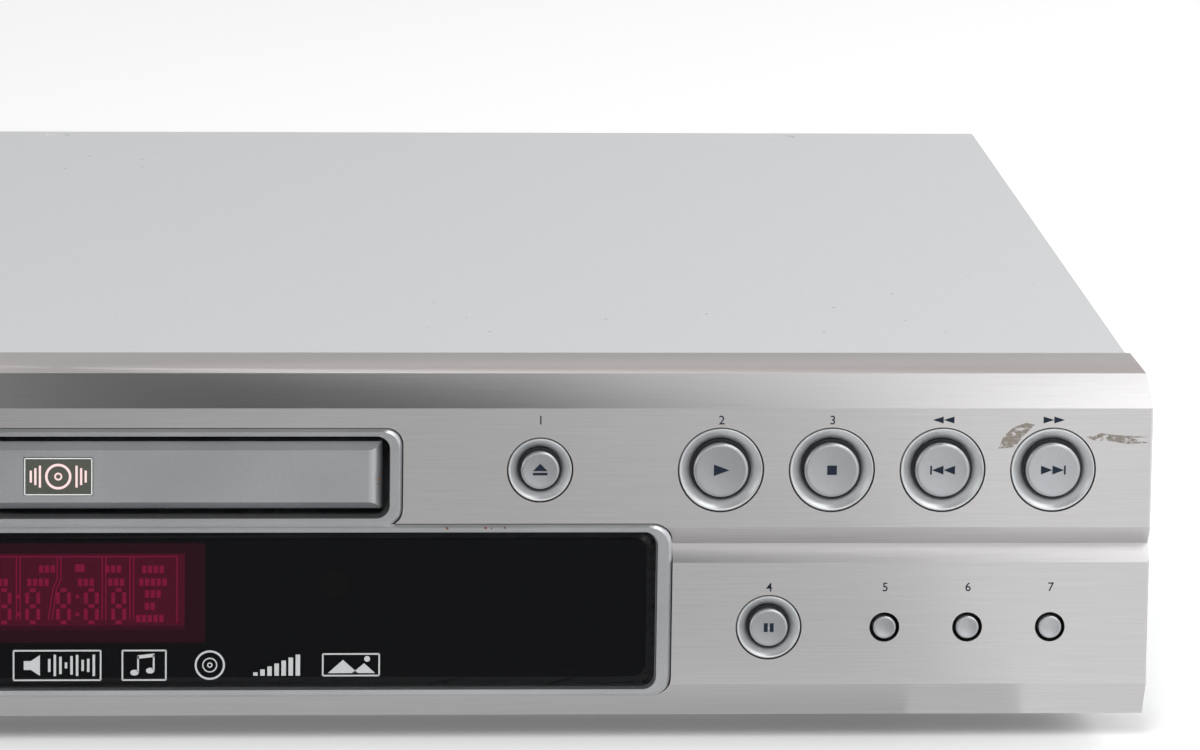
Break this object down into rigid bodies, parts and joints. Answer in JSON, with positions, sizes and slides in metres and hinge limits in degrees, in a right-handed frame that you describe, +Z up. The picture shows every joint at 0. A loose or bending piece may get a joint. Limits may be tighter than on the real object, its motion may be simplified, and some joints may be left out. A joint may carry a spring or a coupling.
{
  "type": "dvd player with tray",
  "caption": "Full width disc player with a front loading tray, brushed aluminium front, display window, push buttons, disc mechanism inside and sockets at the back.",
  "frame": {"origin": "middle of the footprint, on the surface that the foot pads stand on", "axes": "+X to the right seen from the front, +Y from the front panel to the back, +Z up"},
  "size_m": [0.434, 0.3108, 0.075],
  "materials": {
    "brushed_aluminium": "horizontal brushed, satin anodised",
    "silver_paint": "silver metallic painted ABS",
    "smoked_acrylic": "polished smoked acrylic",
    "black_abs": "moulded black ABS",
    "cover_paint": "fine textured silver-grey powder coat",
    "zinc_steel": "bright zinc plated sheet steel",
    "rubber": "soft black rubber",
    "white_pom": "natural acetal",
    "grey_abs": "moulded dark grey ABS",
    "motor_steel": "nickel plated can",
    "polished_steel": "ground and polished rod",
    "brass": "turned brass",
    "circuit_board": "solder masked glass epoxy",
    "paper_board": "phenolic paper board",
    "tube_glass": "display tube glass",
    "switch_plastic": "moulded switch body",
    "transformer_core": "ferrite with yellow tape",
    "nickel_shell": "nickel plated shell",
    "black_plastic": "moulded black plastic",
    "lens_glass": "coated moulded lens",
    "ribbon_film": "flat flexible cable film",
    "screw_steel": "plated screw"
  },
  "bodies": {
    "player": {"front_fascia": "brushed_aluminium", "escutcheon": "silver_paint", "display_window": "smoked_acrylic", "front_frame": "black_abs", "top_cover": "cover_paint", "bottom_chassis": "zinc_steel", "rear_panel": "cover_paint", "feet": "black_plastic", "foot_pads": "rubber", "button_cups": "silver_paint", "loader_frame": "grey_abs", "clamp_bridge": "zinc_steel", "loading_belt": "rubber", "loading_motor": "motor_steel", "front_board": "paper_board", "display_tube": "tube_glass", "key_switches": "switch_plastic", "main_board": "circuit_board", "power_board": "paper_board", "power_transformer": "transformer_core", "jack_board": "circuit_board", "audio_jacks": "black_plastic", "video_jacks": "black_plastic", "jack_shells": "nickel_shell", "hdmi_jack": "nickel_shell", "optical_jack": "black_plastic", "ac_inlet": "black_plastic", "ribbon_cables": "ribbon_film", "cover_screws": "screw_steel", "chassis_screws": "screw_steel"},
    "tray": {"tray": "grey_abs", "tray_door": "silver_paint", "tray_badge": "black_plastic"},
    "drive_gear": {"drive_gear": "white_pom"},
    "pulley_gear": {"pulley_gear": "white_pom"},
    "motor_pulley": {"motor_pulley": "white_pom"},
    "lift": {"lift_frame": "grey_abs", "traverse_plate": "zinc_steel", "damper_bushes": "rubber", "spindle_motor": "motor_steel", "guide_rods": "polished_steel", "feed_motor": "motor_steel"},
    "cam_slider": {"cam_slider": "white_pom"},
    "turntable": {"turntable": "black_plastic"},
    "clamp_puck": {"clamp_puck": "white_pom"},
    "pickup": {"pickup_sled": "grey_abs"},
    "lens": {"pickup_lens": "lens_glass"},
    "feed_gear": {"feed_gear": "white_pom"},
    "feed_pinion": {"feed_pinion": "brass"},
    "shutter": {"optical_shutter": "black_plastic"},
    "power_button": {"power_button": "silver_paint"},
    "open_close_button": {"open_close_button": "silver_paint"},
    "play_button": {"play_button": "silver_paint"},
    "stop_button": {"stop_button": "silver_paint"},
    "previous_button": {"previous_button": "silver_paint"},
    "next_button": {"next_button": "silver_paint"},
    "pause_button": {"pause_button": "silver_paint"},
    "picture_button": {"picture_button": "silver_paint"},
    "direct_button": {"direct_button": "silver_paint"},
    "dimmer_button": {"dimmer_button": "silver_paint"}
  },
  "joints": [
    {"name": "tray_slide", "type": "slide", "parent": "player", "child": "tray", "axis": [0, -1, 0], "range_m": [0, 0.14]},
    {"name": "drive_gear_spin", "type": "hinge", "parent": "player", "child": "drive_gear", "pos_m": [0.046, -0.118, 0.048], "axis": [0, 0, 1], "range_deg": [-1004, 1]},
    {"name": "pulley_gear_spin", "type": "hinge", "parent": "player", "child": "pulley_gear", "pos_m": [0.02436, -0.118, 0.049], "axis": [0, 0, 1], "range_deg": [-1, 2866]},
    {"name": "motor_pulley_spin", "type": "hinge", "parent": "player", "child": "motor_pulley", "pos_m": [-0.01204, -0.118, 0.049], "axis": [0, 0, 1], "range_deg": [-1, 9607]},
    {"name": "lift_hinge", "type": "hinge", "parent": "player", "child": "lift", "pos_m": [0, 0.02, 0.038], "axis": [1, 0, 0], "range_deg": [0, 3.3]},
    {"name": "cam_slide", "type": "slide", "parent": "player", "child": "cam_slider", "axis": [1, 0, 0], "range_m": [0, 0.0241]},
    {"name": "turntable_spin", "type": "hinge", "parent": "lift", "child": "turntable", "pos_m": [0, -0.077, 0.052], "axis": [0, 0, 1], "continuous": true},
    {"name": "clamp_spin", "type": "hinge", "parent": "player", "child": "clamp_puck", "pos_m": [0, -0.077, 0.062], "axis": [0, 0, 1], "continuous": true},
    {"name": "pickup_slide", "type": "slide", "parent": "lift", "child": "pickup", "axis": [0, 1, 0], "range_m": [0, 0.035]},
    {"name": "feed_gear_spin", "type": "hinge", "parent": "lift", "child": "feed_gear", "pos_m": [0.03474, -0.03, 0.047], "axis": [0, 0, 1], "range_deg": [-479, 1]},
    {"name": "feed_pinion_spin", "type": "hinge", "parent": "lift", "child": "feed_pinion", "pos_m": [0.03474, -0.01596, 0.044], "axis": [0, 0, 1], "range_deg": [-1, 1752]},
    {"name": "lens_focus", "type": "slide", "parent": "pickup", "child": "lens", "axis": [0, 0, 1], "range_m": [-0.0004, 0.0004], "stiffness_N_per_m": 60},
    {"name": "power_press", "type": "slide", "parent": "player", "child": "power_button", "axis": [0, 1, 0], "range_m": [0, 0.001], "stiffness_N_per_m": 600, "springref_m": -0.0004},
    {"name": "open_close_press", "type": "slide", "parent": "player", "child": "open_close_button", "axis": [0, 1, 0], "range_m": [0, 0.0006], "stiffness_N_per_m": 600, "springref_m": -0.0004},
    {"name": "play_press", "type": "slide", "parent": "player", "child": "play_button", "axis": [0, 1, 0], "range_m": [0, 0.0006], "stiffness_N_per_m": 600, "springref_m": -0.0004},
    {"name": "stop_press", "type": "slide", "parent": "player", "child": "stop_button", "axis": [0, 1, 0], "range_m": [0, 0.0006], "stiffness_N_per_m": 600, "springref_m": -0.0004},
    {"name": "previous_press", "type": "slide", "parent": "player", "child": "previous_button", "axis": [0, 1, 0], "range_m": [0, 0.0006], "stiffness_N_per_m": 600, "springref_m": -0.0004},
    {"name": "next_press", "type": "slide", "parent": "player", "child": "next_button", "axis": [0, 1, 0], "range_m": [0, 0.0006], "stiffness_N_per_m": 600, "springref_m": -0.0004},
    {"name": "pause_press", "type": "slide", "parent": "player", "child": "pause_button", "axis": [0, 1, 0], "range_m": [0, 0.0006], "stiffness_N_per_m": 600, "springref_m": -0.0004},
    {"name": "picture_press", "type": "slide", "parent": "player", "child": "picture_button", "axis": [0, 1, 0], "range_m": [0, 0.0006], "stiffness_N_per_m": 600, "springref_m": -0.0004},
    {"name": "direct_press", "type": "slide", "parent": "player", "child": "direct_button", "axis": [0, 1, 0], "range_m": [0, 0.0006], "stiffness_N_per_m": 600, "springref_m": -0.0004},
    {"name": "dimmer_press", "type": "slide", "parent": "player", "child": "dimmer_button", "axis": [0, 1, 0], "range_m": [0, 0.0006], "stiffness_N_per_m": 600, "springref_m": -0.0004},
    {"name": "shutter_hinge", "type": "hinge", "parent": "player", "child": "shutter", "pos_m": [0.048, 0.1472, 0.0435], "axis": [-1, 0, 0], "range_deg": [0, 80], "stiffness_Nm_per_rad": 0.0006, "springref_deg": -17.19}
  ],
  "couplings": [
    {"joint": "drive_gear_spin", "follows": "tray_slide", "rad_per_m": -125},
    {"joint": "pulley_gear_spin", "follows": "tray_slide", "rad_per_m": 357.14},
    {"joint": "motor_pulley_spin", "follows": "tray_slide", "rad_per_m": 1197.5},
    {"joint": "cam_slide", "follows": "lift_hinge", "m_per_rad": 0.4167},
    {"joint": "feed_gear_spin", "follows": "pickup_slide", "rad_per_m": -238.1},
    {"joint": "feed_pinion_spin", "follows": "pickup_slide", "rad_per_m": 873.02}
  ]
}
